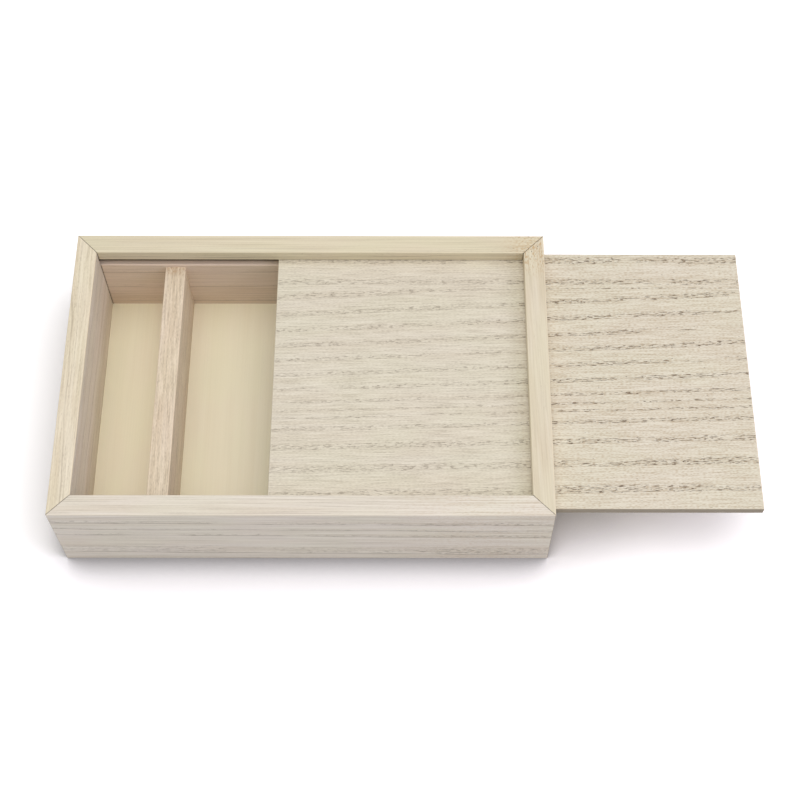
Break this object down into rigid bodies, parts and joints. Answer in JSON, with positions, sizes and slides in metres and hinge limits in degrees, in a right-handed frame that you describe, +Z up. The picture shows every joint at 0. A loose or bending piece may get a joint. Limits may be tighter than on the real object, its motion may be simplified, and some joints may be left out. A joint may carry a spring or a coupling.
{
  "type": "photo storage box",
  "caption": "Shallow mitred wooden box for prints, with a divider that makes a narrow side bay and a thin lid that slides out under an end rail.",
  "frame": {"origin": "middle of the box's underside, where it rests", "axes": "+X along the box towards the end that the lid slides out of, +Y towards the back, +Z up"},
  "size_m": [0.3245, 0.15, 0.051],
  "materials": {
    "wall_boards": "sanded bare pale wood",
    "divider_board": "sanded bare pale wood",
    "base_ply": "smooth bare veneer",
    "lid_board": "sanded bare pale wood with open pores"
  },
  "bodies": {
    "box": {"front_wall": "wall_boards", "back_wall": "wall_boards", "left_wall": "wall_boards", "right_wall": "wall_boards", "right_top_rail": "wall_boards", "base_panel": "base_ply", "divider": "divider_board"},
    "lid": {"sliding_lid": "lid_board"}
  },
  "joints": [
    {"name": "lid_slide", "type": "slide", "parent": "box", "child": "lid", "axis": [1, 0, 0], "range_m": [-0.0883, 0.131]}
  ]
}
